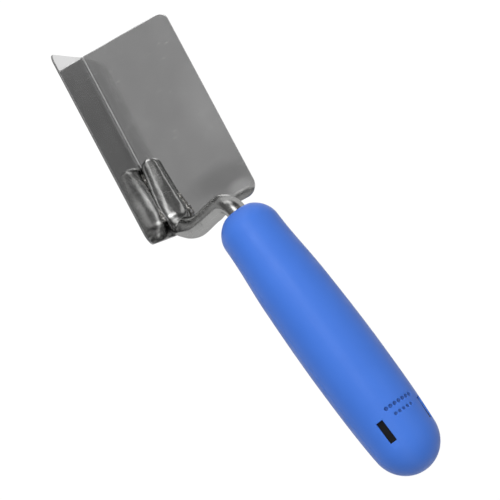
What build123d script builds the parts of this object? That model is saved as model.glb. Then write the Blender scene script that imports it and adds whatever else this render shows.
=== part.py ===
"""Inside-corner trowel: a folded sheet blade on a forged swan-neck tang with a soft-grip handle.

Millimetres. The origin is the centre of the plate wing's outer (working) face: +X runs across
the plate away from the fold, +Y runs towards the toe and +Z rises out of the plate, into the
valley of the blade. The blade is symmetric about the bisector plane of its two wings, and the
neck and the handle lie in that plane.
"""

import os
from math import radians, tan

from build123d import *

# Driving dimensions -----------------------------------------------------------------------

blade_length = 90.0
wing_width = 43.8  # on the outer face, from the outer corner of the fold
sheet = 0.8
fold_inner_radius = 1.2
toe_corner_radius = 4.0
heel_corner_radius = 6.0

foot_start = 0.6  # both ends of the foot, forward of the blade's heel
foot_end = 36.0
foot_tip_width = 8.8
foot_heel_width = 10.8
foot_tip_height = 4.8
foot_tip_radius = 4.2
foot_heel_height = 6.4
foot_roundness = 0.72  # radius of the foot's upper edges, as a share of its height
foot_heel_centre = 6.7  # from the outer corner of the fold to the middle of the foot
foot_tip_centre = 5.6

rod_radius = 4.35
rod_depth = 72.0  # length of the rod held inside the handle

# Places in the bisector plane: (rearward of the blade's heel, out of the fold's outer corner).
handle_front = (5.5, 54.8)
handle_rise = 15.0  # degrees between the handle's axis and the fold
neck_root = (-13.0, 6.2)
neck_heel = (-1.85, 9.8)
neck_sag = (1.6, 20.6)
neck_top_setback = 7.6  # from the handle's front forward to the corner at the top of the neck
neck_heel_radius = 10.0
neck_sag_radius = 22.4
neck_top_radius = 8.4

# The neck's oval section: (share of its length, half-depth in the bisector plane, half-width).
neck_sections = [
    (0.00, 2.2, 2.4),
    (0.13, 3.9, 4.4),
    (0.26, 4.9, 4.8),
    (0.40, 4.8, 4.4),
    (0.56, 4.6, 4.0),
    (0.70, 4.7, 4.1),
    (0.80, 4.3, 4.2),
    (0.88, 3.9, 4.3),
    (0.95, 4.2, rod_radius),
    (1.00, rod_radius, rod_radius),
]

handle_length = 129.3
front_radius = 13.2
front_dome = 12.0
front_dome_centre = 10.0
belly_radius = 15.6
belly_points = [(40.0, -0.7), (78.0, 0.0)]  # (along the axis, radius past the belly's)
butt_radius = 14.3
butt_dome = 14.8
butt_dome_arc = 85.0  # degrees round the butt's ellipse, from the axis to the belly
front_dome_arc = 56.4  # degrees round the front's ellipse, from the belly to the flat end
grip_wall = 3.0

window_length = 9.4
window_width = 3.1
window_centre = 109.2  # from the handle's front end
window_skin_radius = 14.3  # the grip's radius there
window_recess = 0.35  # from the grip's skin down to the lug behind the window
grip_turn = 5.0  # degrees that the handle sits turned on the rod
window_angles = [grip_turn + quarter for quarter in (-45, 45, 135, 225)]
lug_height = 5.0

dimple_radius = 1.0
dimple_centre_radius = 15.45  # the grip's radius at the dimples, plus what keeps them shallow
dimple_pitch = 8.0  # degrees round the grip
dimple_rows = [(102.0, 7), (105.6, 5)]  # (distance from the handle's front end, dimples)

bead_radius = 1.6
side_weld_rise = 0.4  # the bead's centre above the plate
side_weld_run = (4.0, 17.0)  # forward of the blade's heel, along the foot's open side
fold_weld_run = (3.0, 22.0)  # the same, in the groove between the foot and the flange
fold_weld_bottom = 1.9
fold_weld_width = 1.8
fold_weld_height = 2.6

fold_x = -wing_width / 2
heel_y = -blade_length / 2
toe_y = blade_length / 2

neck_top = (
    handle_front[0] - neck_top_setback,
    handle_front[1] - neck_top_setback * tan(radians(handle_rise)),
)

# The bisector plane: x runs rearward along the fold, y out of the fold.
bisector = Plane(origin=(fold_x, heel_y, 0), x_dir=(0, -1, 0), z_dir=(-1, 0, 1))

# The handle's frame: its plane has x along the axis from the front end, y away from the fold.
handle_start = bisector.from_local_coords(Vector(*handle_front, 0))
axis_dir = Vector(0, -1, 0).rotate(Axis((0, 0, 0), bisector.z_dir), handle_rise)
handle_axis = Axis(handle_start, axis_dir)
handle_plane = Plane(origin=handle_start, x_dir=axis_dir, z_dir=bisector.z_dir)
handle_section = Plane(origin=handle_start, x_dir=bisector.z_dir, z_dir=axis_dir)


def on_grip(distance, radius, angle):
    """A plane on the grip, facing out, that far along the axis and that many degrees round it."""
    outward = bisector.z_dir.rotate(handle_axis, angle)
    return Plane(handle_start + axis_dir * distance + outward * radius, axis_dir, outward)


# Blade: one sheet folded to a right angle ---------------------------------------------------

with BuildPart() as blade:
    with BuildSketch(Plane.XZ.offset(-heel_y)) as fold_profile:
        with Locations((fold_x, 0)):
            Rectangle(wing_width, wing_width, align=(Align.MIN, Align.MIN))
        outer_corner = fold_profile.vertices().sort_by_distance((fold_x, 0, 0))[0]
        fillet(outer_corner, fold_inner_radius + sheet)
        with Locations((fold_x + sheet, sheet)):
            Rectangle(wing_width, wing_width, align=(Align.MIN, Align.MIN), mode=Mode.SUBTRACT)
        inner_corner = fold_profile.vertices().sort_by_distance((fold_x + sheet, sheet, 0))[0]
        fillet(inner_corner, fold_inner_radius)
    extrude(amount=-blade_length)
    for y, radius in [(toe_y, toe_corner_radius), (heel_y, heel_corner_radius)]:
        plate_tip = blade.edges().filter_by(Axis.Z).sort_by_distance((-fold_x, y, 0))[0]
        flange_tip = blade.edges().filter_by(Axis.X).sort_by_distance((fold_x, y, wing_width))[0]
        fillet([plate_tip, flange_tip], radius)
blade.part.label = "blade"

# Tang: foot, swan neck and the rod inside the handle ----------------------------------------

with BuildLine(bisector) as neck_line:
    FilletPolyline(
        *[neck_root, neck_heel, neck_sag, neck_top, handle_front],
        radius=[neck_heel_radius, neck_sag_radius, neck_top_radius],
    )
neck_path = neck_line.wire()

with BuildPart() as neck:
    for share, half_depth, half_width in neck_sections:
        section_plane = Plane(neck_path @ share, bisector.z_dir, neck_path % share)
        with BuildSketch(section_plane):
            Ellipse(half_width, half_depth)
    loft()

with BuildPart() as tang:
    for y, x, width, height in [
        (heel_y + foot_start, fold_x + foot_heel_centre, foot_heel_width, foot_heel_height),
        (heel_y + foot_end, fold_x + foot_tip_centre, foot_tip_width, foot_tip_height),
    ]:
        with BuildSketch(Plane.XZ.offset(-y)) as foot_section:
            with Locations((x, sheet)):
                Rectangle(width, height, align=(Align.CENTER, Align.MIN))
            fillet(foot_section.vertices().group_by(Axis.Y)[-1], height * foot_roundness)
    loft(ruled=True)
    with BuildSketch(Plane.XY.offset(sheet)) as foot_outline:
        with Locations((fold_x + foot_tip_centre, heel_y + foot_end)):
            Rectangle(foot_tip_width, foot_tip_width, align=(Align.CENTER, Align.MAX))
        fillet(foot_outline.vertices().group_by(Axis.Y)[-1], foot_tip_radius)
        with Locations((fold_x + foot_heel_centre, heel_y + foot_end - foot_tip_width)):
            Rectangle(2 * foot_heel_width, foot_end, align=(Align.CENTER, Align.MAX))
    extrude(amount=foot_heel_height, mode=Mode.INTERSECT)
    add(neck.part)
    with BuildSketch(handle_section):
        Circle(rod_radius)
    extrude(amount=rod_depth)
    add(blade.part, mode=Mode.SUBTRACT)
tang.part.label = "tang"

# Welds: a bead along the foot's open side, and one in the groove between it and the flange -----


def foot_edge(y):
    """x of the foot's edge on its open side at y."""
    share = (y - heel_y - foot_start) / (foot_end - foot_start)
    centre = foot_heel_centre + (foot_tip_centre - foot_heel_centre) * share
    width = foot_heel_width + (foot_tip_width - foot_heel_width) * share
    return fold_x + centre + width / 2


side_weld_ends = [
    Vector(foot_edge(heel_y + y), heel_y + y, sheet + side_weld_rise) for y in side_weld_run
]
with BuildPart() as side_weld:
    with BuildSketch(Plane(side_weld_ends[0], z_dir=side_weld_ends[1] - side_weld_ends[0])):
        Circle(bead_radius)
    extrude(amount=(side_weld_ends[1] - side_weld_ends[0]).length)
    with Locations(*side_weld_ends):
        Sphere(bead_radius)
    split(bisect_by=Plane.XY.offset(sheet), keep=Keep.TOP)
    add(tang.part, mode=Mode.SUBTRACT)
side_weld.part.label = "side_weld"

with BuildPart() as fold_weld:
    with BuildSketch(Plane.XZ.offset(-heel_y - fold_weld_run[0])):
        with Locations((fold_x + sheet, fold_weld_bottom)):
            Rectangle(fold_weld_width, fold_weld_height, align=(Align.MIN, Align.MIN))
    extrude(amount=fold_weld_run[0] - fold_weld_run[1])
    add(tang.part, mode=Mode.SUBTRACT)
fold_weld.part.label = "fold_weld"

# Handle: a hard core moulded on the rod, and the soft grip over it ----------------------------


def handle_outline(inset):
    """Half of the handle's lengthwise section, set in by that much from the grip's skin."""
    with BuildSketch(handle_plane) as outline:
        with BuildLine():
            butt_arc = EllipticalCenterArc(
                (handle_length - butt_dome, 0),
                butt_dome - inset,
                butt_radius - inset,
                arc_size=butt_dome_arc,
            )
            front_arc = EllipticalCenterArc(
                (front_dome_centre, 0),
                front_dome - inset,
                front_radius - inset,
                90,
                arc_size=front_dome_arc,
            )
            Spline(
                butt_arc @ 1,
                *[(x, belly_radius + extra - inset) for x, extra in reversed(belly_points)],
                front_arc @ 0,
                tangents=(butt_arc % 1, front_arc % 0),
            )
            Polyline(front_arc @ 1, ((front_arc @ 1).X, 0), butt_arc @ 0)
        make_face()
    return outline.sketch


with BuildPart() as handle_core:
    revolve(handle_outline(grip_wall), axis=handle_axis)
    for angle in window_angles:
        with BuildSketch(on_grip(window_centre, window_skin_radius - window_recess, angle)):
            Rectangle(window_length, window_width)
        extrude(amount=-lug_height)
    add(tang.part, mode=Mode.SUBTRACT)
handle_core.part.label = "handle_core"

with BuildPart() as handle_sleeve:
    revolve(handle_outline(0), axis=handle_axis)
    for angle in window_angles:
        with BuildSketch(on_grip(window_centre, window_skin_radius - window_recess, angle)):
            Rectangle(window_length, window_width)
        extrude(amount=grip_wall, mode=Mode.SUBTRACT)
    for distance, count in dimple_rows:
        for index in range(count):
            angle = grip_turn - 90 + (index - (count - 1) / 2) * dimple_pitch
            with Locations(on_grip(distance, dimple_centre_radius, angle)):
                Sphere(dimple_radius, mode=Mode.SUBTRACT)
    add(tang.part, mode=Mode.SUBTRACT)
    add(handle_core.part, mode=Mode.SUBTRACT)
handle_sleeve.part.label = "handle_sleeve"

os.makedirs("parts", exist_ok=True)
for piece in [blade, tang, side_weld, fold_weld, handle_core, handle_sleeve]:
    export_step(piece.part, f"parts/{piece.part.label}.step")
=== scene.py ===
"""Looks of the inside-corner trowel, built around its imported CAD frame.

Lengths are millimetres in the row frame until a mesh is made. The plate wing lies in XY, the
flange wing stands along the fold at low X, and the neck and the handle lie in the bisector
plane of the two wings.
"""

import math

import bpy
import numpy as np
from mathutils import Matrix, Vector, noise


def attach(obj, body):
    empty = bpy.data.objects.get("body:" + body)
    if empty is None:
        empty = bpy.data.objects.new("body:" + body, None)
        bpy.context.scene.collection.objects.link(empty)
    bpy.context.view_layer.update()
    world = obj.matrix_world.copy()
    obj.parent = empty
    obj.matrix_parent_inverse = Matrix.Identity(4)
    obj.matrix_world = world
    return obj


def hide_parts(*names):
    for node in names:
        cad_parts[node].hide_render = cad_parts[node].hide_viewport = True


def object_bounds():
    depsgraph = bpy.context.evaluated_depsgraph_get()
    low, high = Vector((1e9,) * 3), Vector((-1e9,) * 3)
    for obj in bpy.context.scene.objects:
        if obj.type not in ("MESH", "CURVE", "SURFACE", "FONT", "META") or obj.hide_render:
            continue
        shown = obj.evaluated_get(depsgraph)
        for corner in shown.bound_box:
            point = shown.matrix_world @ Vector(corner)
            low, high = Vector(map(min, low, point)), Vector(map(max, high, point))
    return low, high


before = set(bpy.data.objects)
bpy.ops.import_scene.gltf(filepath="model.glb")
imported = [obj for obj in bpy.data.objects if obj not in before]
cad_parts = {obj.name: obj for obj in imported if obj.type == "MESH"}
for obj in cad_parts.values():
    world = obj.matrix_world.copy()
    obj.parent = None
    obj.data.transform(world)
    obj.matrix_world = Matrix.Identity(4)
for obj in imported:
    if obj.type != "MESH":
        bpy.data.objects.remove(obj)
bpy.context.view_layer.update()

MM = 0.001


# Values that the shapes share ------------------------------------------------------------

SHEET = 0.8
WING = 43.8
LENGTH = 90.0
FOLD_X = -WING / 2
HEEL_Y = -LENGTH / 2
TOE_Y = LENGTH / 2
FOLD_RADIUS = 1.6  # middle of the sheet
TOE_CORNER = 4.0
HEEL_CORNER = 6.0

HANDLE_FRONT = (5.5, 54.8)  # in the bisector plane
HANDLE_RISE = 15.0
ROD_RADIUS = 4.35

BISECTOR_OUT = np.array([1.0, 0.0, 1.0]) / math.sqrt(2)
BISECTOR_NORMAL = np.array([-1.0, 0.0, 1.0]) / math.sqrt(2)
REARWARD = np.array([0.0, -1.0, 0.0])
FOLD_CORNER = np.array([FOLD_X, HEEL_Y, 0.0])


def in_bisector(rear, out):
    """A point of the bisector plane: rearward of the blade's heel, and out of the fold."""
    return FOLD_CORNER + REARWARD * rear + BISECTOR_OUT * out


def unit(vector):
    """The vector at length one."""
    return vector / np.linalg.norm(vector)


def make_piece(name, points, faces, materials):
    """A smooth mesh piece from points in millimetres, riding on the root body."""
    mesh = bpy.data.meshes.new(name)
    mesh.from_pydata([tuple(p) for p in np.asarray(points) * MM], [], [tuple(f) for f in faces])
    mesh.validate()
    piece = bpy.data.objects.new(name, mesh)
    bpy.context.scene.collection.objects.link(piece)
    mesh.shade_smooth()
    for material in materials:
        mesh.materials.append(material)
    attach(piece, "root")
    return piece


# Material nodes --------------------------------------------------------------------------


class Nodes:
    """Short calls for the nodes of one material."""

    def __init__(self, name):
        self.material = bpy.data.materials.new(name)
        self.material.use_nodes = True
        self.tree = self.material.node_tree
        self.tree.nodes.clear()
        self.shader = self.add("ShaderNodeBsdfPrincipled")
        out = self.add("ShaderNodeOutputMaterial")
        self.tree.links.new(self.shader.outputs["BSDF"], out.inputs["Surface"])
        self.place = self.add("ShaderNodeTexCoord").outputs["Object"]

    def add(self, kind, **settings):
        made = self.tree.nodes.new(kind)
        for key, value in settings.items():
            setattr(made, key, value)
        return made

    def feed(self, socket, value):
        if isinstance(value, bpy.types.NodeSocket):
            self.tree.links.new(value, socket)
        else:
            socket.default_value = value

    def stretched(self, scale, turn=(0, 0, 0)):
        """The object's coordinates, turned, then scaled per axis."""
        made = self.add("ShaderNodeMapping")
        self.feed(made.inputs["Vector"], self.place)
        made.inputs["Rotation"].default_value = turn
        made.inputs["Scale"].default_value = scale
        return made.outputs["Vector"]

    def noise(self, scale, detail=3.0, rough=0.5, where=None):
        made = self.add("ShaderNodeTexNoise")
        self.feed(made.inputs["Vector"], where or self.place)
        made.inputs["Scale"].default_value = scale
        made.inputs["Detail"].default_value = detail
        made.inputs["Roughness"].default_value = rough
        return made.outputs["Fac"]

    def ramp(self, value, stops):
        """value turned into a grey or a colour by stops of (position, value)."""
        made = self.add("ShaderNodeValToRGB")
        self.feed(made.inputs["Fac"], value)
        band = made.color_ramp
        band.interpolation = "EASE"
        while len(band.elements) < len(stops):
            band.elements.new(0.5)
        for stop, (position, shade) in zip(band.elements, stops):
            stop.position = position
            stop.color = (*shade, 1) if isinstance(shade, tuple) else (shade, shade, shade, 1)
        return made.outputs["Color"]

    def math(self, operation, a, b=0.0):
        made = self.add("ShaderNodeMath", operation=operation)
        self.feed(made.inputs[0], a)
        self.feed(made.inputs[1], b)
        return made.outputs["Value"]

    def mix(self, share, a, b):
        """Colours a and b mixed by share."""
        made = self.add("ShaderNodeMix", data_type="RGBA", blend_type="MIX")
        self.feed(made.inputs["Factor"], share)
        self.feed(made.inputs[6], (*a, 1) if isinstance(a, tuple) else a)
        self.feed(made.inputs[7], (*b, 1) if isinstance(b, tuple) else b)
        return made.outputs[2]

    def bump(self, height, distance, strength=1.0, under=None):
        made = self.add("ShaderNodeBump")
        made.inputs["Strength"].default_value = strength
        made.inputs["Distance"].default_value = distance
        self.feed(made.inputs["Height"], height)
        if under is not None:
            self.feed(made.inputs["Normal"], under)
        return made.outputs["Normal"]

    def finish(self, **inputs):
        for key, value in inputs.items():
            socket = self.shader.inputs[key.replace("_", " ")]
            if isinstance(value, tuple) and len(value) == 3:
                value = (*value, 1)
            self.feed(socket, value)
        return self.material


def steel_material(name, tone, rough, brush_scale, patches, grain=1.0, edge_tint=1.0):
    """Polished steel: a slightly uneven tone, fine lengthwise polishing lines and a few scratches.

    Each of the patches, (centre, half sizes, tone factor) in metres, paints light into the tone
    where its factor is above 1 and shade where it is below 1. edge_tint dims what is seen at a grazing
    angle.
    """
    n = Nodes(name)
    cloud = n.noise(35.0, 4.0, 0.55)
    lines = n.noise(1.0, 2.0, 0.6, n.stretched(brush_scale))
    scratch_field = n.noise(1.0, 1.0, 0.4, n.stretched((240.0, 9000.0, 240.0), (0, 0, 0.5)))
    scratches = n.ramp(scratch_field, [(0.70, 0.0), (0.78, 1.0)])
    shade = n.mix(cloud, tuple(0.93 * t for t in tone), tuple(1.06 * t for t in tone))
    shade = n.mix(n.math("MULTIPLY", scratches, 0.15), shade, (0.8, 0.8, 0.8))
    # painted light and shade: each patch scales the tone inside a soft ball
    for centre, size, factor in patches:
        where = n.add("ShaderNodeMapping", vector_type="TEXTURE")
        n.feed(where.inputs["Vector"], n.place)
        where.inputs["Location"].default_value = centre
        where.inputs["Scale"].default_value = size
        ball = n.add("ShaderNodeTexGradient", gradient_type="SPHERICAL")
        n.feed(ball.inputs["Vector"], where.outputs["Vector"])
        share = n.ramp(ball.outputs["Fac"], [(0.0, 0.0), (0.75, 1.0)])
        shade = n.mix(share, shade, tuple(factor * t for t in tone))
    uneven = n.math("MULTIPLY", n.noise(90.0, 3.0, 0.6), 0.10 * grain)
    roughness = n.math("ADD", uneven, rough - 0.05 * grain)
    roughness = n.math("ADD", roughness, n.math("MULTIPLY", scratches, 0.15))
    normal = n.bump(lines, 0.000004 * grain, 0.5)
    normal = n.bump(n.noise(28.0, 2.0, 0.5), 0.00004 * grain, 0.25, normal)
    n.shader.inputs["Specular Tint"].default_value = (edge_tint, edge_tint, edge_tint, 1)
    return n.finish(Base_Color=shade, Metallic=1.0, Roughness=roughness, Normal=normal)


def ground_edge_material():
    """Sheared and ground sheet edge: rough, with lines across the thickness."""
    n = Nodes("ground_edge")
    lines = n.noise(1.0, 2.0, 0.7, n.stretched((2500.0, 2500.0, 2500.0)))
    shade = n.mix(n.noise(220.0, 3.0), (0.20, 0.20, 0.20), (0.30, 0.30, 0.30))
    roughness = n.ramp(n.noise(400.0, 2.0), [(0.3, 0.36), (0.7, 0.52)])
    normal = n.bump(lines, 0.00001)
    return n.finish(Base_Color=shade, Metallic=1.0, Roughness=roughness, Normal=normal)


def weld_material():
    """Weld bead: brushed bright on its crowns, duller and straw tinted in its hollows."""
    n = Nodes("weld_metal")
    patches = n.noise(500.0, 4.0, 0.6)
    tones = [(0.3, (0.20, 0.19, 0.18)), (0.5, (0.42, 0.41, 0.39)), (0.72, (0.62, 0.61, 0.59))]
    shade = n.ramp(patches, tones)
    roughness = n.ramp(n.noise(700.0, 3.0), [(0.3, 0.22), (0.7, 0.5)])
    normal = n.bump(patches, 0.0001, 0.5)
    return n.finish(Base_Color=shade, Metallic=1.0, Roughness=roughness, Normal=normal)


def grip_material(name, depth=1.0):
    """Satin soft-touch elastomer: faintly mottled blue with a fine moulded grain."""
    n = Nodes(name)
    mottle = n.noise(40.0, 5.0, 0.6)
    light, dark = (0.074, 0.236, 0.870), (0.060, 0.205, 0.790)
    # a depth below 1 darkens the whole colour: painted shade for the dimples' material
    shade = n.mix(mottle, tuple(depth * c for c in dark), tuple(depth * c for c in light))
    speck = n.ramp(n.noise(2200.0, 1.0), [(0.70, 0.0), (0.80, 1.0)])
    shade = n.mix(n.math("MULTIPLY", speck, 0.12), shade, (0.25, 0.38, 0.85))
    grain = n.noise(2600.0, 2.0, 0.5)
    normal = n.bump(grain, 0.00002, 0.35)
    roughness = n.ramp(n.noise(150.0, 3.0), [(0.3, 0.40), (0.7, 0.50)])
    n.shader.inputs["Specular IOR Level"].default_value = 0.32
    return n.finish(Base_Color=shade, Roughness=roughness, Normal=normal)


def core_material():
    """Black hard plastic with a fine moulded texture and a little dust."""
    n = Nodes("core_plastic")
    dust = n.ramp(n.noise(1500.0, 4.0, 0.7), [(0.58, 0.0), (0.72, 1.0)])
    shade = n.mix(n.math("MULTIPLY", dust, 0.5), (0.004, 0.004, 0.004), (0.035, 0.030, 0.022))
    normal = n.bump(n.noise(1800.0, 3.0, 0.6), 0.00006, 0.6)
    roughness = n.ramp(n.noise(300.0, 2.0), [(0.3, 0.5), (0.7, 0.65)])
    n.shader.inputs["Specular IOR Level"].default_value = 0.25
    return n.finish(Base_Color=shade, Roughness=roughness, Normal=normal)


# Painted light and shade in the sheet's tone: each patch is (centre, half sizes, tone factor).
PLATE_PAINTED_LIGHT = [
    ((0.010, -0.0325, 0.0), (0.024, 0.009, 0.01), 0.77),  # painted shade: a darker band near the heel
    ((0.0155, -0.0395, 0.0), (0.008, 0.005, 0.01), 1.25),  # painted highlight in the heel's corner
    ((0.020, 0.0, 0.0), (0.016, 0.026, 0.01), 1.12),  # painted light: the outer part of the plate made lighter
]
FOOT_PAINTED_HIGHLIGHT = [((-0.0200, -0.0270, 0.0055), (0.0045, 0.020, 0.006), 1.9)]  # painted highlight on its fold side
blade_steel = steel_material(
    "stainless_sheet", (0.60, 0.60, 0.60), 0.12, (6000.0, 60.0, 6000.0), PLATE_PAINTED_LIGHT
)
tang_steel = steel_material(
    "polished_tang_steel", (0.34, 0.34, 0.335), 0.25, (1500.0, 90.0, 1500.0), FOOT_PAINTED_HIGHLIGHT,
    grain=1.6, edge_tint=0.6,
)
ground_edge = ground_edge_material()
weld_metal = weld_material()
soft_grip = grip_material("soft_grip")
grip_dimple_painted_shade = grip_material("grip_dimple_painted_shade", 0.45)
core_plastic = core_material()


# Blade -----------------------------------------------------------------------------------

EDGE_BEVEL = 0.13
CORNER_STEPS = 14
FLAT_STEPS = 26
FOLD_STEPS = 12
ROW_STEPS = 60
WING_RUN = WING - SHEET / 2 - FOLD_RADIUS  # flat run of a wing's middle surface
FOLD_RUN = FOLD_RADIUS * math.pi / 2
SPREAD_WIDTH = 9.0  # how far from the fold the sheet still leans after folding
SPREAD_RISE = 0.26
FLARE = 0.35  # how much wider the plate is at its heel than at its toe


def blade_columns(inset):
    """Distances along the middle of the section, from the plate's free edge to the flange's."""
    reach = HEEL_CORNER - inset
    corner = inset + reach * (1 - np.cos(np.linspace(0, math.pi / 2, CORNER_STEPS)))
    share = np.linspace(0, 1, FLAT_STEPS + 1)[1:]
    flat = HEEL_CORNER + (WING_RUN - HEEL_CORNER) * (1 - (1 - share) ** 1.6)
    fold = WING_RUN + FOLD_RUN * np.linspace(0, 1, FOLD_STEPS + 1)[1:-1]
    half = np.concatenate([corner, flat])
    return np.concatenate([half, fold, (2 * WING_RUN + FOLD_RUN - half)[::-1]])


def blade_end(along, radius, inset):
    """How far the rounded corner pulls the blade's end in, at a distance from the free edge."""
    from_edge = min(along, 2 * WING_RUN + FOLD_RUN - along) - inset
    bend = radius - inset
    if from_edge >= bend:
        return inset
    return inset + bend - math.sqrt(max(bend**2 - (bend - from_edge) ** 2, 0.0))


def spread(from_fold, y):
    """Small lean of the sheet beside the fold, and the long gentle wave left by the press."""
    middle = 1 + 0.25 * math.cos(math.pi * y / LENGTH)
    lean = SPREAD_RISE * middle * math.exp(-((from_fold / SPREAD_WIDTH) ** 2))
    wave = 0.04 * math.sin(from_fold / 17.0 + 0.6) * math.cos(y / 31.0 - 0.4)
    return lean + wave


def blade_point(along, y, offset):
    """A point of the blade, offset from the middle of the sheet towards the valley."""
    low = SHEET / 2
    if along < WING_RUN:
        x = WING / 2 - along + FLARE * (TOE_Y - y) / LENGTH * (1 - along / WING_RUN)
        return (x, y, low + offset + spread(WING_RUN - along, y))
    if along > WING_RUN + FOLD_RUN:
        z = low + FOLD_RADIUS + along - WING_RUN - FOLD_RUN
        return (FOLD_X + low + offset + spread(along - WING_RUN - FOLD_RUN, y), y, z)
    angle = (along - WING_RUN) / FOLD_RADIUS
    reach = FOLD_RADIUS - offset
    lift = spread(0.0, y)
    x = FOLD_X + low + FOLD_RADIUS - reach * math.sin(angle)
    z = low + FOLD_RADIUS - reach * math.cos(angle)
    share = angle / (math.pi / 2)
    return (x + lift * share, y, z + lift * (1 - share))


def blade_grid(inset, offset):
    """Rows of blade points inside an inset border, all at one offset from the middle."""
    rows = np.linspace(0, 1, ROW_STEPS + 1)
    rows = rows - 0.06 * np.sin(2 * math.pi * rows)
    rows = np.concatenate([[0, 0.003], rows[1:-1], [0.997, 1]])
    grid = []
    for along in blade_columns(inset):
        start = HEEL_Y + blade_end(along, HEEL_CORNER, inset)
        end = TOE_Y - blade_end(along, TOE_CORNER, inset)
        grid.append([blade_point(along, start + (end - start) * r, offset) for r in rows])
    return np.array(grid)


def build_blade():
    """The folded sheet: its two faces, and a bevelled rim that joins them."""
    half = SHEET / 2
    rim = [
        (EDGE_BEVEL, half), (0.3 * EDGE_BEVEL, half - 0.3 * EDGE_BEVEL), (0.0, half - EDGE_BEVEL),
        (0.0, 0.0),
        (0.0, EDGE_BEVEL - half), (0.3 * EDGE_BEVEL, 0.3 * EDGE_BEVEL - half), (EDGE_BEVEL, -half),
    ]
    inner = blade_grid(EDGE_BEVEL, half)
    outer = blade_grid(EDGE_BEVEL, -half)
    cols, rows = inner.shape[:2]
    points = list(inner.reshape(-1, 3)) + list(outer.reshape(-1, 3))
    base = cols * rows

    def at(i, j):
        return i * rows + j

    faces = []
    for i in range(cols - 1):
        for j in range(rows - 1):
            quad = [at(i, j), at(i, j + 1), at(i + 1, j + 1), at(i + 1, j)]
            faces.append(quad)
            faces.append([base + k for k in reversed(quad)])
    sheet_faces = len(faces)
    border = [(i, 0) for i in range(cols)] + [(cols - 1, j) for j in range(1, rows)]
    border += [(i, rows - 1) for i in range(cols - 2, -1, -1)] + [(0, j) for j in range(rows - 2, 0, -1)]
    rings = [[at(i, j) for i, j in border]]
    for inset, offset in rim[1:-1]:
        grid = blade_grid(inset, offset)
        rings.append(list(range(len(points), len(points) + len(border))))
        points += [grid[i, j] for i, j in border]
    rings.append([base + at(i, j) for i, j in border])
    for first, second in zip(rings, rings[1:]):
        for k in range(len(border)):
            m = (k + 1) % len(border)
            faces.append([first[k], first[m], second[m], second[k]])
    piece = make_piece("blade_sheet", points, faces, [blade_steel, ground_edge])
    for index, face in enumerate(piece.data.polygons):
        face.material_index = int(index >= sheet_faces)
    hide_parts("blade")
    return piece


build_blade()

# Tang --------------------------------------------------------------------------------------

NECK_ROOT = (-13.0, 6.2)
NECK_HEEL = (-1.85, 9.8)
NECK_SAG = (1.6, 20.6)
NECK_TOP_SETBACK = 7.6
NECK_HEEL_RADIUS, NECK_SAG_RADIUS, NECK_TOP_RADIUS = 10.0, 22.4, 8.4
ROD_DEPTH = 72.0
RING_POINTS = 72
STATION_STEP = 0.6
PATH_STEP = 0.1
PRESS = 0.04  # how far the foot is sunk into the sheet

FOOT_STATIONS = [
    # forward of the heel, centre from the flange and from the plate, turn towards the bisector
    # plane, half width right and left, height up and down, squareness of the top and the bottom
    (36.0, 5.2, 1.7, 12.0, 4.1, 4.2, 3.0, 1.7, 4.0, 8.0),
    (31.0, 5.2, 1.8, 13.0, 4.3, 4.3, 3.2, 1.8, 4.0, 8.0),
    (24.0, 5.2, 2.1, 15.0, 4.7, 4.9, 3.1, 2.1, 3.8, 7.0),
    (16.0, 5.3, 2.5, 18.0, 5.2, 5.5, 2.8, 2.6, 3.4, 5.0),
    (11.5, 5.5, 2.8, 20.0, 5.7, 5.6, 2.6, 2.9, 3.0, 4.0),
    (8.5, 5.7, 3.0, 24.0, 5.8, 5.4, 2.7, 3.1, 2.8, 3.6),
    (6.5, 5.8, 3.6, 30.0, 5.8, 5.1, 3.0, 3.5, 2.6, 3.2),
    (4.5, 5.9, 4.5, 37.0, 5.7, 4.9, 3.7, 4.1, 2.3, 2.7),
    (2.5, 5.8, 5.2, 42.0, 5.5, 4.7, 4.1, 4.3, 2.1, 2.3),
]
NECK_STATIONS = [  # share of the neck, half depth in the bisector plane, half width
    (0.23, 4.7, 4.9),
    (0.28, 4.9, 4.8),
    (0.34, 4.9, 4.6),
    (0.40, 4.8, 4.4),
    (0.48, 4.7, 4.2),
    (0.56, 4.6, 4.0),
    (0.63, 4.6, 4.0),
    (0.70, 4.65, 4.1),
    (0.76, 4.5, 4.15),
    (0.82, 4.2, 4.2),
    (0.88, 4.0, 4.3),
    (0.95, 4.2, ROD_RADIUS),
    (1.00, ROD_RADIUS, ROD_RADIUS),
]
TIP_RADIUS = 4.2
TIP_CROWN = 1.15  # how much sooner the tip gains its height than its width
TIP_STEPS = 12
FORGING_RIPPLE = 0.13
NECK_RIPPLE = 0.35  # the neck's share of the ripple
FOOT_RIPPLE_RISE = 6.0  # forward of the heel, where the foot has the whole ripple
ROD_STATIONS = [  # behind the handle's front, share of the rod's radius
    (4, 1), (20, 1), (45, 1), (ROD_DEPTH - 1.0, 1), (ROD_DEPTH, 0.78),
]
# The parts of a station, once joined: its centre, side and up, then its half sizes and forms.
CENTRE, SIDE, UP, SECTION = slice(0, 3), slice(3, 6), slice(6, 9), slice(9, 15)
WIDTHS, TOP = slice(9, 11), 11
FOLD_SIDE_SQUARENESS = 0.05  # the foot's upper edge beside the flange is rounder than the other

neck_top = (
    HANDLE_FRONT[0] - NECK_TOP_SETBACK,
    HANDLE_FRONT[1] - NECK_TOP_SETBACK * math.tan(math.radians(HANDLE_RISE)),
)
HANDLE_AXIS = REARWARD * math.cos(math.radians(HANDLE_RISE))
HANDLE_AXIS = HANDLE_AXIS + BISECTOR_OUT * math.sin(math.radians(HANDLE_RISE))
HANDLE_START = in_bisector(*HANDLE_FRONT)


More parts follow.
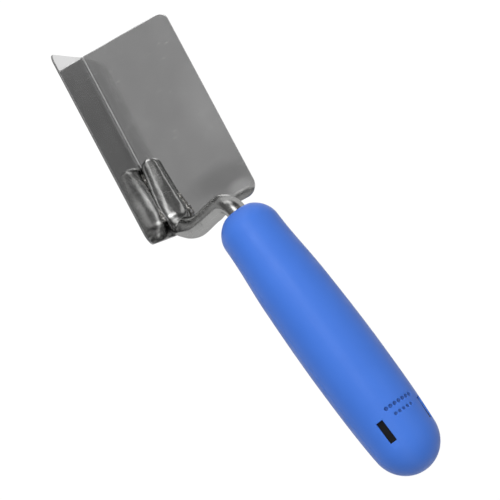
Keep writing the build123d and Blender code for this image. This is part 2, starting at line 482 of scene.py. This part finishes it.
def filleted(corners, radii):
    """Even points along a line through the corners with its inner corners rounded."""
    corners = [np.array(c, float) for c in corners]
    points = [corners[0]]
    for before, corner, after, radius in zip(corners, corners[1:], corners[2:], radii):
        back, ahead = unit(before - corner), unit(after - corner)
        half = math.acos(float(back @ ahead)) / 2
        reach = radius / math.tan(half)
        centre = corner + unit(back + ahead) * radius / math.sin(half)
        start, end = corner + back * reach - centre, corner + ahead * reach - centre
        turn = math.atan2(start[0] * end[1] - start[1] * end[0], start @ end)
        for share in np.linspace(0, 1, 30):
            c, s = math.cos(turn * share), math.sin(turn * share)
            points.append(centre + (c * start[0] - s * start[1], s * start[0] + c * start[1]))
    points.append(corners[-1])
    points = np.array(points)
    run = np.concatenate([[0], np.cumsum(np.linalg.norm(np.diff(points, axis=0), axis=1))])
    even = np.linspace(0, run[-1], int(run[-1] / PATH_STEP) + 1)
    return np.array([np.interp(even, run, points[:, k]) for k in (0, 1)]).T


neck_path = filleted(
    [NECK_ROOT, NECK_HEEL, NECK_SAG, neck_top, HANDLE_FRONT],
    [NECK_HEEL_RADIUS, NECK_SAG_RADIUS, NECK_TOP_RADIUS],
)


def joined(station):
    """The parts of a station in one row of numbers."""
    return np.concatenate([np.atleast_1d(part) for part in station])


def through(stations, step):
    """A smooth run of stations through the given ones, about step apart."""
    rows = np.array([joined(station) for station in stations])
    padded = np.vstack([2 * rows[0] - rows[1], rows, 2 * rows[-1] - rows[-2]])
    made = []
    for a, b, c, d in zip(padded, padded[1:], padded[2:], padded[3:]):
        count = max(1, int(np.linalg.norm(c[:3] - b[:3]) / step))
        span = np.linalg.norm(c[:3] - b[:3])
        before = span / max(np.linalg.norm(b[:3] - a[:3]), 1e-6)
        after = span / max(np.linalg.norm(d[:3] - c[:3]), 1e-6)
        lead = (c - b + (b - a) * before) / 2
        tail = (c - b + (d - c) * after) / 2
        for t in np.arange(count) / count:
            made.append(
                b * (2 * t**3 - 3 * t**2 + 1) + c * (3 * t**2 - 2 * t**3)
                + lead * (t**3 - 2 * t**2 + t) + tail * (t**3 - t**2)
            )
    made.append(rows[-1])
    return made


def ring(station):
    """A closed section: its upper and lower halves are superellipses (2 is an ellipse)."""
    centre, side, up = station[CENTRE], unit(station[SIDE]), unit(station[UP])
    right, left, top, bottom, top_form, bottom_form = station[SECTION]
    points = []
    for k in range(RING_POINTS):
        angle = 2 * math.pi * k / RING_POINTS
        c, s = math.cos(angle), math.sin(angle)
        form = top_form if s >= 0 else bottom_form
        if s >= 0 and c < 0:
            form = 2 + FOLD_SIDE_SQUARENESS * (top_form - 2)
        power = 2 / form
        across = (right if c >= 0 else left) * math.copysign(abs(c) ** power, c)
        rise = (top if s >= 0 else bottom) * math.copysign(abs(s) ** power, s)
        points.append(centre + side * across + up * rise)
    return np.array(points)


def foot_station(forward, out, height, turn, *section):
    """A station of the foot, from one row of FOOT_STATIONS."""
    turn = math.radians(turn)
    centre = (FOLD_X + SHEET + out, HEEL_Y + forward, SHEET + height)
    side = (math.cos(turn), 0, -math.sin(turn))
    return [centre, side, (math.sin(turn), 0, math.cos(turn)), section]


def neck_station(share, depth, width):
    """An oval station across the neck's path, from one row of NECK_STATIONS."""
    index = int(share * (len(neck_path) - 1))
    ahead = neck_path[min(index + 2, len(neck_path) - 1)] - neck_path[max(index - 2, 0)]
    ahead = unit(ahead)
    up = -REARWARD * ahead[1] + BISECTOR_OUT * ahead[0]
    return [
        in_bisector(*neck_path[index]), -BISECTOR_NORMAL, up,
        (width, width, depth, depth, 2.0, 2.0),
    ]


def rod_station(run, radius):
    """A round station of the rod, that far behind the handle's front."""
    up = BISECTOR_OUT * math.cos(math.radians(HANDLE_RISE))
    up = up - REARWARD * math.sin(math.radians(HANDLE_RISE))
    return [HANDLE_START + HANDLE_AXIS * run, -BISECTOR_NORMAL, up, (radius,) * 4 + (2.0, 2.0)]


def forged(point, centre, share):
    """Shallow unevenness of the forging, drawn out along its length."""
    spot = Vector((point[0] / 3.2, point[1] / 8.0, point[2] / 3.2))
    ripple = noise.noise(spot) + 0.45 * noise.noise(spot * 2.7)
    return point + unit(point - centre) * FORGING_RIPPLE * share * ripple


def tang_stations():
    """Stations from the foot's rounded tip, along the foot and the neck, to the rod's end."""
    keys = [foot_station(*s) for s in FOOT_STATIONS] + [neck_station(*s) for s in NECK_STATIONS]
    tip_y = HEEL_Y + FOOT_STATIONS[0][0]
    body = [s for s in through(keys, STATION_STEP) if tip_y - s[1] >= TIP_RADIUS]
    tip = []
    for step in np.linspace(0, math.pi / 2, TIP_STEPS + 1)[1:-1]:
        station = body[0].copy()
        station[1] = tip_y - TIP_RADIUS * (1 - math.cos(step))
        wide = math.sin(step)
        station[WIDTHS] *= wide
        crown = min(1.0, wide * TIP_CROWN)
        station[TOP] *= 0.5 + 0.5 * math.sqrt(1 - (1 - crown) ** 2)
        tip.append(station)
    rod = [joined(rod_station(run, ROD_RADIUS * share)) for run, share in ROD_STATIONS]
    return tip + body + rod


def build_tang():
    """The forging: rings through its stations, closed at both ends and laid on the sheet."""
    rings = [(station[CENTRE], ring(station)) for station in tang_stations()]
    points = []
    for centre, loop in rings:
        on_foot = float(np.clip((centre[1] - HEEL_Y) / FOOT_RIPPLE_RISE, 0, 1))
        for p in loop:
            p = forged(p, centre, NECK_RIPPLE + (1 - NECK_RIPPLE) * on_foot)
            p[0] = max(p[0], FOLD_X + SHEET - PRESS)
            p[2] = max(p[2], SHEET - PRESS)
            points.append(p)
    faces = []
    for i in range(len(rings) - 1):
        for k in range(RING_POINTS):
            m = (k + 1) % RING_POINTS
            a, b = i * RING_POINTS, (i + 1) * RING_POINTS
            faces.append([a + k, b + k, b + m, a + m])
    last = (len(rings) - 1) * RING_POINTS
    tip, end = len(points), len(points) + 1
    points.append(np.mean(points[:RING_POINTS], axis=0))
    points.append(np.mean(points[last:last + RING_POINTS], axis=0))
    for k in range(RING_POINTS):
        m = (k + 1) % RING_POINTS
        faces.append([tip, k, m])
        faces.append([end, last + m, last + k])
    piece = make_piece("tang_forging", points, faces, [tang_steel])
    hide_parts("tang")
    return piece


build_tang()

# Welds -------------------------------------------------------------------------------------

BEAD_POINTS = 28
BEAD_STEP = 0.16


def build_bead(name, node, keys, pitch, seed):
    """A rippled weld bead through key points of (from the flange, forward, height, radius)."""
    keys = np.array(keys, float)
    run = np.concatenate([[0], np.cumsum(np.linalg.norm(np.diff(keys[:, :3], axis=0), axis=1))])
    even = np.arange(0, run[-1], BEAD_STEP)
    path = np.array([np.interp(even, run, keys[:, k]) for k in range(4)]).T
    points = []
    for distance, (out, forward, height, radius) in zip(even, path):
        from_end = max(min(distance, run[-1] - distance), 0.02)
        taper = min(1.0, math.sqrt(from_end / 1.1))
        sway = 0.25 * noise.noise(Vector((distance / 2.3, seed, 4.7)))
        centre = np.array([FOLD_X + SHEET + out + sway, HEEL_Y + forward, SHEET + height])
        for k in range(BEAD_POINTS):
            angle = 2 * math.pi * k / BEAD_POINTS
            lag = 0.55 * math.cos(angle * 2)  # the ripples are crescents
            uneven = 0.8 * noise.noise(Vector((distance / 2.9, seed, 9.1)))
            wave = abs(math.sin(math.pi * ((distance + lag) / pitch + uneven))) ** 0.7
            lump = noise.noise(Vector((distance / 1.4, seed + math.cos(angle), math.sin(angle))))
            reach = radius * taper * (0.80 + 0.20 * wave + 0.34 * lump)
            point = centre + reach * np.array([math.cos(angle), 0, math.sin(angle)])
            point[0] = max(point[0], FOLD_X + SHEET - PRESS)
            point[2] = max(point[2], SHEET - PRESS)
            points.append(point)
    rings = len(even)
    faces = []
    for i in range(rings - 1):
        for k in range(BEAD_POINTS):
            m = (k + 1) % BEAD_POINTS
            a, b = i * BEAD_POINTS, (i + 1) * BEAD_POINTS
            faces.append([a + k, a + m, b + m, b + k])
    faces.append(list(range(BEAD_POINTS))[::-1])
    faces.append(list(range((rings - 1) * BEAD_POINTS, rings * BEAD_POINTS)))
    piece = make_piece(name, points, faces, [weld_metal])
    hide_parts(node)
    return piece


build_bead("side_weld_bead", "side_weld", [
    (10.1, 16.5, 0.5, 0.9), (10.5, 14.0, 0.5, 1.2), (10.9, 11.0, 0.5, 1.1), (11.5, 8.0, 0.5, 1.5),
    (11.7, 5.5, 0.5, 1.2), (11.6, 4.2, 0.4, 0.8),
], 1.5, 3.1)
build_bead("fold_weld_bead", "fold_weld", [
    (1.0, 32.0, 1.6, 0.6), (0.8, 26.0, 2.3, 0.8), (0.6, 18.0, 3.3, 0.95), (0.5, 13.0, 4.0, 1.15),
    (0.5, 9.5, 4.7, 1.3), (0.7, 7.5, 5.0, 0.9),
], 1.7, 8.4)

# Handle ------------------------------------------------------------------------------------

HANDLE_LENGTH = 129.3
FRONT_CENTRE, FRONT_DOME, FRONT_RADIUS, FRONT_ARC = 10.0, 12.0, 13.2, 56.4
BUTT_DOME, BUTT_RADIUS, BUTT_ARC = 14.8, 14.3, 85.0
BELLY = [(40.0, 14.9), (78.0, 15.6)]
GRIP_WALL = 3.0
WINDOW_LENGTH, WINDOW_WIDTH, WINDOW_CENTRE = 9.4, 3.1, 109.2
WINDOW_RADIUS = 14.3
WINDOW_BEVEL = 0.16
WINDOW_LOW = WINDOW_CENTRE - WINDOW_LENGTH / 2 - WINDOW_BEVEL
WINDOW_HIGH = WINDOW_CENTRE + WINDOW_LENGTH / 2 + WINDOW_BEVEL
WINDOW_HALF = math.degrees(math.asin(WINDOW_WIDTH / 2 / WINDOW_RADIUS))  # without its bevel
BEVEL_TURN = math.degrees(WINDOW_BEVEL / WINDOW_RADIUS)
GRIP_TURN = 5.0
WINDOWS = [GRIP_TURN + quarter for quarter in (-45, 45, 135, 225)]
SEAMS = [GRIP_TURN, GRIP_TURN + 180]
SEAM_DEPTH, SEAM_WIDTH, SEAM_STEP = 0.15, 0.25, 0.06
DIMPLE_RADIUS, DIMPLE_CENTRE_RADIUS, DIMPLE_PITCH = 1.0, 15.45, 8.0
DIMPLE_ROWS = [(102.0, 7), (105.6, 5)]
DIMPLE_SPAN = (100.0, 107.6)  # where the grip's rows stand close together
DIMPLE_MIDDLE = GRIP_TURN - 90
DIMPLE_SUNK = 0.25  # a point sunk deeper than this gets the darker material: painted shade in the dimples
ROD_HOLE = 4.42


def belly_radius(x):
    """Radius between the front dome and the butt dome."""
    butt_x = HANDLE_LENGTH - BUTT_DOME + BUTT_DOME * math.cos(math.radians(BUTT_ARC))
    butt_r = BUTT_RADIUS * math.sin(math.radians(BUTT_ARC))
    butt_slope = -BUTT_RADIUS / BUTT_DOME / math.tan(math.radians(BUTT_ARC))
    knots = [(FRONT_CENTRE, FRONT_RADIUS)] + BELLY + [(butt_x, butt_r)]
    slopes = [0.0]
    slopes += [(c[1] - a[1]) / (c[0] - a[0]) for a, c in zip(knots, knots[2:])]
    slopes += [butt_slope]
    for (x0, r0), (x1, r1), m0, m1 in zip(knots, knots[1:], slopes, slopes[1:]):
        if x <= x1:
            break
    t, span = (x - x0) / (x1 - x0), x1 - x0
    return (
        r0 * (2 * t**3 - 3 * t**2 + 1) + r1 * (3 * t**2 - 2 * t**3)
        + span * m0 * (t**3 - 2 * t**2 + t) + span * m1 * (t**3 - t**2)
    )


def spaced(low, high, step):
    """Even values from low to high, about step apart."""
    return list(np.linspace(low, high, max(2, round((high - low) / step) + 1)))


def grip_rows():
    """The grip's outer profile from the rod hole to the butt, as (distance, radius)."""
    rows = [(0.35, ROD_HOLE), (0.08, ROD_HOLE + 0.1), (0.02, ROD_HOLE + 0.4), (0.02, 6.2)]
    for angle in np.linspace(90 + FRONT_ARC, 90, 16):
        a = math.radians(angle)
        rows.append((max(FRONT_CENTRE + FRONT_DOME * math.cos(a), 0.02), FRONT_RADIUS * math.sin(a)))
    fine_from, fine_to = DIMPLE_SPAN
    body = spaced(FRONT_CENTRE, fine_from, 1.6)[1:] + spaced(fine_from, WINDOW_LOW, 0.2)[1:]
    body += spaced(WINDOW_LOW, fine_to, 0.2)[1:] + spaced(fine_to, WINDOW_HIGH, 0.9)[1:]
    rows += [(x, belly_radius(x)) for x in body]
    butt_x = HANDLE_LENGTH - BUTT_DOME
    for angle in np.linspace(BUTT_ARC, 0, 24)[1:-1]:
        a = math.radians(angle)
        x = butt_x + BUTT_DOME * math.cos(a)
        if x > WINDOW_HIGH + 0.4:
            rows.append((x, BUTT_RADIUS * math.sin(a)))
    return rows


def grip_columns():
    """Angles round the grip, closer together at the windows, the seams and the dimples."""
    special = []
    for window in WINDOWS:
        special += [window + side * (WINDOW_HALF + BEVEL_TURN) for side in (-1, 1)]
        special += [window + side * (WINDOW_HALF + BEVEL_TURN + 1.0) for side in (-1, 1)]
    for seam in SEAMS:
        special += [seam + step for step in (-3, -1.8, -1.2, -0.8, -0.4, 0, 0.4, 0.8, 1.2, 1.8, 3)]
    reach = DIMPLE_PITCH * 3 + 5
    special += spaced(DIMPLE_MIDDLE - reach, DIMPLE_MIDDLE + reach, 0.8)
    special = sorted(a % 360 for a in special)
    plain = [a for a in np.arange(0, 360, 3.0)
             if min(abs((a - b + 180) % 360 - 180) for b in special) > 1.2]
    return sorted(special + plain)


def gap(angle, other):
    """Degrees between two angles, the short way round."""
    return abs((angle - other + 180) % 360 - 180)


def skin(x, radius, angle):
    """The grip's radius with its seams and dimples."""
    for seam in SEAMS:
        if gap(angle, seam) < 6 and 6 < x:
            offset = math.radians((angle - seam + 180) % 360 - 180) * radius
            fade = min(1.0, (x - 6) / 10, max(HANDLE_LENGTH - 3 - x, 0) / 10)
            side = 0.5 + 0.5 * math.tanh(offset / 0.15)
            radius -= fade * SEAM_DEPTH * math.exp(-((offset / SEAM_WIDTH) ** 2))
            radius -= fade * SEAM_STEP * side * math.exp(-((offset / 1.6) ** 2))
    for row, count in DIMPLE_ROWS:
        if abs(x - row) > 1.4:
            continue
        for index in range(count):
            middle = DIMPLE_MIDDLE + (index - (count - 1) / 2) * DIMPLE_PITCH
            across = math.radians(gap(angle, middle)) * radius
            off = math.hypot(x - row, across)
            if off < DIMPLE_RADIUS:
                floor = DIMPLE_CENTRE_RADIUS - math.sqrt(DIMPLE_RADIUS**2 - off**2)
                radius = min(radius, floor)
    return radius


def on_handle(x, radius, angle):
    """The point that far along the handle's axis and out from it, at an angle round it."""
    a = math.radians(angle)
    across = np.cross(HANDLE_AXIS, BISECTOR_NORMAL)
    outward = BISECTOR_NORMAL * math.cos(a) + across * math.sin(a)
    return HANDLE_START + HANDLE_AXIS * x + outward * radius


def grip_skin(rows, columns):
    """The points of the grip's skin, row by row, and which of them are sunk in a dimple."""
    points = []
    sunk = set()
    for x, radius in rows:
        for a in columns:
            height = skin(x, radius, a)
            if x > DIMPLE_ROWS[0][0] - DIMPLE_RADIUS and radius - height > DIMPLE_SUNK:
                sunk.add(len(points))
            points.append(on_handle(x, height, a))
    return points, sunk


def grip_lining(rows, columns):
    """The points of the grip's inner wall, one behind each point of its skin."""
    along = np.gradient(np.array(rows), axis=0)
    along /= np.linalg.norm(along, axis=1)[:, None]
    points = []
    for (x, radius), (dx, dr) in zip(rows, along):
        deep_x = min(max(x + GRIP_WALL * dr, GRIP_WALL), HANDLE_LENGTH - GRIP_WALL)
        deep_r = max(radius - GRIP_WALL * dx, ROD_HOLE if x < 20 else 0.3)
        points += [on_handle(deep_x, deep_r, a) for a in columns]
    return points


def window_openings(rows, columns):
    """The grid quads that the windows leave out, and (window, loop of grid corners) for each."""
    n_cols = len(columns)
    row_low = min(range(len(rows)), key=lambda i: abs(rows[i][0] - WINDOW_LOW))
    row_high = min(range(len(rows)), key=lambda i: abs(rows[i][0] - WINDOW_HIGH))
    reach = WINDOW_HALF + BEVEL_TURN
    holes = set()
    loops = []
    for window in WINDOWS:
        first = min(range(n_cols), key=lambda j: gap(columns[j], window - reach))
        last = min(range(n_cols), key=lambda j: gap(columns[j], window + reach))
        count = (last - first) % n_cols
        holes |= {(i, (first + j) % n_cols) for i in range(row_low, row_high) for j in range(count)}
        loop = [(row_low, first + j) for j in range(count + 1)]
        loop += [(i, first + count) for i in range(row_low + 1, row_high + 1)]
        loop += [(row_high, first + j) for j in range(count - 1, -1, -1)]
        loop += [(i, first) for i in range(row_high - 1, row_low, -1)]
        loops.append((window, loop))
    return holes, loops


def build_sleeve():
    """The grip: skin and lining on one grid, open at the windows, and the windows' walls."""
    rows, columns = grip_rows(), grip_columns()
    n_rows, n_cols = len(rows), len(columns)
    points, dimpled = grip_skin(rows, columns)
    inner = len(points)
    points += grip_lining(rows, columns)
    holes, loops = window_openings(rows, columns)

    def at(i, j, base=0):
        return base + i * n_cols + j % n_cols

    faces = []
    for i in range(n_rows - 1):
        for j in range(n_cols):
            if (i, j) in holes:
                continue
            quad = [at(i, j), at(i + 1, j), at(i + 1, j + 1), at(i, j + 1)]
            faces.append(quad)
            faces.append([inner + k for k in reversed(quad)])
    for j in range(n_cols):
        faces.append([at(0, j), at(0, j + 1), at(0, j + 1, inner), at(0, j, inner)])
    pole, deep_pole = len(points), len(points) + 1
    points.append(HANDLE_START + HANDLE_AXIS * HANDLE_LENGTH)
    points.append(HANDLE_START + HANDLE_AXIS * (HANDLE_LENGTH - GRIP_WALL))
    for j in range(n_cols):
        faces.append([at(n_rows - 1, j), pole, at(n_rows - 1, j + 1)])
        faces.append([at(n_rows - 1, j + 1, inner), deep_pole, at(n_rows - 1, j, inner)])
    for window, loop in loops:
        wall = len(points)
        for i, j in loop:
            angle = (columns[j % n_cols] - window + 180) % 360 - 180
            angle = max(-WINDOW_HALF, min(WINDOW_HALF, angle))
            x = max(WINDOW_LOW + WINDOW_BEVEL, min(WINDOW_HIGH - WINDOW_BEVEL, rows[i][0]))
            points.append(on_handle(x, rows[i][1] - WINDOW_BEVEL, window + angle))
        for k in range(len(loop)):
            m = (k + 1) % len(loop)
            outer_k, outer_m = at(*loop[k]), at(*loop[m])
            faces.append([outer_m, outer_k, wall + k, wall + m])
            faces.append([wall + m, wall + k, inner + outer_k, inner + outer_m])
    piece = make_piece("grip_sleeve", points, faces, [soft_grip, grip_dimple_painted_shade])
    # faces sunk in a dimple get the darker material: painted shade in the dimples
    for face in piece.data.polygons:
        sunk = sum(k in dimpled for k in face.vertices)
        face.material_index = int(sunk >= 2)
    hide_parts("handle_sleeve")
    return piece


build_sleeve()

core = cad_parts["handle_core"].data
core.materials.clear()
core.materials.append(core_plastic)

# Floor, light and camera ---------------------------------------------------------------------

FLOOR_SIZE = 6.0
FLOOR_GAP = 0.0005
STUDIO_BY_HEIGHT = [  # the direction's Z, brightness
    (-1.0, 0.30), (0.0, 0.15), (0.2, 0.16), (0.5, 0.24), (0.75, 0.34), (0.92, 0.36), (1.0, 0.36),
]
STUDIO_BY_SIDE = [  # the direction's X, factor on the brightness: a strip light along the fold
    (-1.0, 1.0), (-0.11, 1.0), (-0.06, 5.0), (0.08, 5.0), (0.13, 1.0), (0.18, 0.95),
    (0.32, 0.62), (0.45, 0.35), (0.75, 0.35), (1.0, 0.3),
]


def build_floor():
    """A pale glowing floor just under the object, which lights nothing by diffuse bounces."""
    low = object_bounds()[0][2] - FLOOR_GAP
    half = FLOOR_SIZE / 2
    mesh = bpy.data.meshes.new("floor")
    corners = [(-half, -half, low), (half, -half, low), (half, half, low), (-half, half, low)]
    mesh.from_pydata(corners, [], [(0, 1, 2, 3)])
    floor = bpy.data.objects.new("floor", mesh)
    bpy.context.scene.collection.objects.link(floor)
    n = Nodes("floor")
    shade = n.mix(n.noise(30.0, 2.0), (0.05, 0.05, 0.05), (0.06, 0.06, 0.06))
    n.shader.inputs["Emission Color"].default_value = (1, 1, 1, 1)
    n.shader.inputs["Emission Strength"].default_value = 0.99
    n.shader.inputs["Specular IOR Level"].default_value = 0.0
    mesh.materials.append(n.finish(Base_Color=shade, Roughness=0.9))
    floor.visible_diffuse = False


def build_world():
    """A grey studio with a strip light over the fold, darker towards +X."""
    world = bpy.data.worlds.new("studio")
    bpy.context.scene.world = world
    world.use_nodes = True
    tree = world.node_tree
    tree.nodes.clear()
    place = tree.nodes.new("ShaderNodeTexCoord")
    split = tree.nodes.new("ShaderNodeSeparateXYZ")
    tree.links.new(place.outputs["Generated"], split.inputs[0])
    glow = tree.nodes.new("ShaderNodeBackground")
    out = tree.nodes.new("ShaderNodeOutputWorld")
    tree.links.new(glow.outputs["Background"], out.inputs["Surface"])
    product = tree.nodes.new("ShaderNodeMath")
    product.operation = "MULTIPLY"
    tree.links.new(product.outputs["Value"], glow.inputs["Color"])
    for index, (axis, stops) in enumerate([("Z", STUDIO_BY_HEIGHT), ("X", STUDIO_BY_SIDE)]):
        spread_out = tree.nodes.new("ShaderNodeMapRange")
        spread_out.inputs["From Min"].default_value = -1
        tree.links.new(split.outputs[axis], spread_out.inputs["Value"])
        ramp = tree.nodes.new("ShaderNodeValToRGB")
        tree.links.new(spread_out.outputs["Result"], ramp.inputs["Fac"])
        tree.links.new(ramp.outputs["Color"], product.inputs[index])
        band = ramp.color_ramp
        while len(band.elements) < len(stops):
            band.elements.new(0.5)
        for stop, (position, grey) in zip(band.elements, stops):
            stop.position = (position + 1) / 2
            stop.color = (grey, grey, grey, 1)


def soft_light(name, place, target, size, power, in_metal=True):
    """A rectangular area light aimed at target; in_metal says whether reflections show it."""
    lamp = bpy.data.lights.new(name, "AREA")
    lamp.shape = "RECTANGLE"
    lamp.size, lamp.size_y = size
    lamp.energy = power
    body = bpy.data.objects.new(name, lamp)
    bpy.context.scene.collection.objects.link(body)
    body.location = place
    body.visible_glossy = in_metal
    body.rotation_euler = (Vector(target) - Vector(place)).to_track_quat("-Z", "Y").to_euler()
    return body


CAMERA_PLACE = (0.14007, -0.06733, 0.63047)
CAMERA_RIGHT = (0.86413, -0.46801, -0.18507)
CAMERA_UP = (0.45813, 0.88372, -0.09569)
CAMERA_LENS = 104.94
CAMERA_SENSOR = 36.0


def build_camera():
    """The camera, from its place and the directions of its right and up."""
    data = bpy.data.cameras.new("camera")
    data.lens = CAMERA_LENS
    data.sensor_width = CAMERA_SENSOR
    data.clip_start = 0.01
    data.clip_end = 20.0
    camera = bpy.data.objects.new("camera", data)
    bpy.context.scene.collection.objects.link(camera)
    right, up = Vector(CAMERA_RIGHT), Vector(CAMERA_UP)
    turn = Matrix((right, up, right.cross(up))).transposed()
    camera.matrix_world = Matrix.Translation(CAMERA_PLACE) @ turn.to_4x4()
    bpy.context.scene.camera = camera


build_floor()
build_world()
soft_light("toe_softbox", (0.08, 0.45, 0.75), (0, -0.06, 0.02), (0.5, 0.35), 1.6)
soft_light("side_strip", (0.75, -0.03, 0.50), (0, -0.03, 0.02), (1.2, 0.28), 1.3)
soft_light("toe_glow", (-0.1, 0.9, 0.25), (0, 0, 0), (0.8, 0.3), 1.1)
soft_light("fill", (0.15, 0.25, 0.90), (0, -0.08, 0.03), (0.3, 0.3), 2.2, in_metal=False)
build_camera()
bpy.context.scene.view_settings.view_transform = "Standard"
